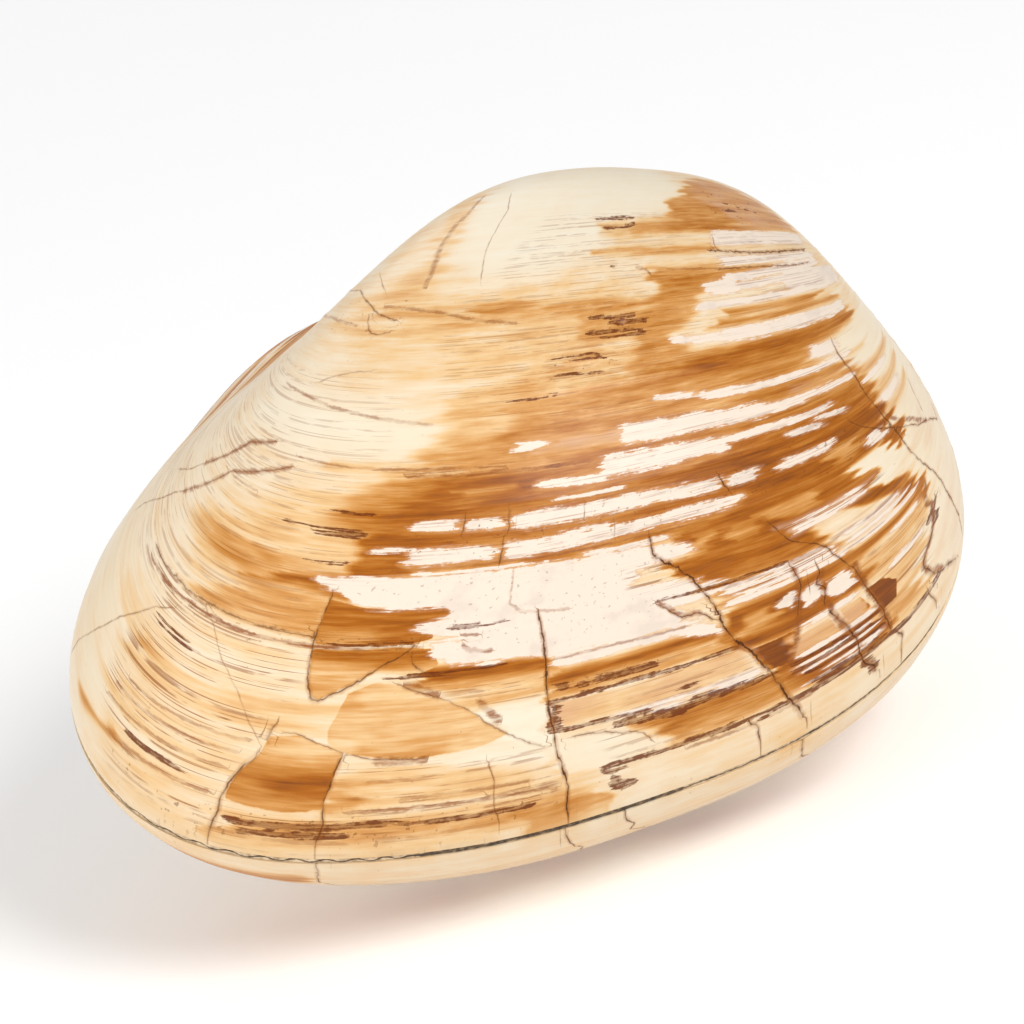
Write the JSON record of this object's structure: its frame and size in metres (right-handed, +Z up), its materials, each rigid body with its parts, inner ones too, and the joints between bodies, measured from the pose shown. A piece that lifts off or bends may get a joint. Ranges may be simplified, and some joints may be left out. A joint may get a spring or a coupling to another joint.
{
  "type": "fossil clam shell",
  "caption": "Polished fossil clam with both valves closed, domed and egg-shaped, banded along its growth lines, lying on its lower valve as a desk ornament or specimen.",
  "frame": {"origin": "on the surface the shell lies on, under the middle of its bounding box", "axes": "+X along the hinge line, from the long end to the short end; +Z up; the ventral edge faces -Y and the beaks face +Y"},
  "size_m": [0.1196, 0.0936, 0.0837],
  "materials": {
    "upper_shell": "polished",
    "lower_shell": "polished",
    "sediment": "matte, gritty"
  },
  "bodies": {
    "root": {"upper_valve": "upper_shell", "lower_valve": "lower_shell", "seam_fill": "sediment"}
  },
  "joints": []
}
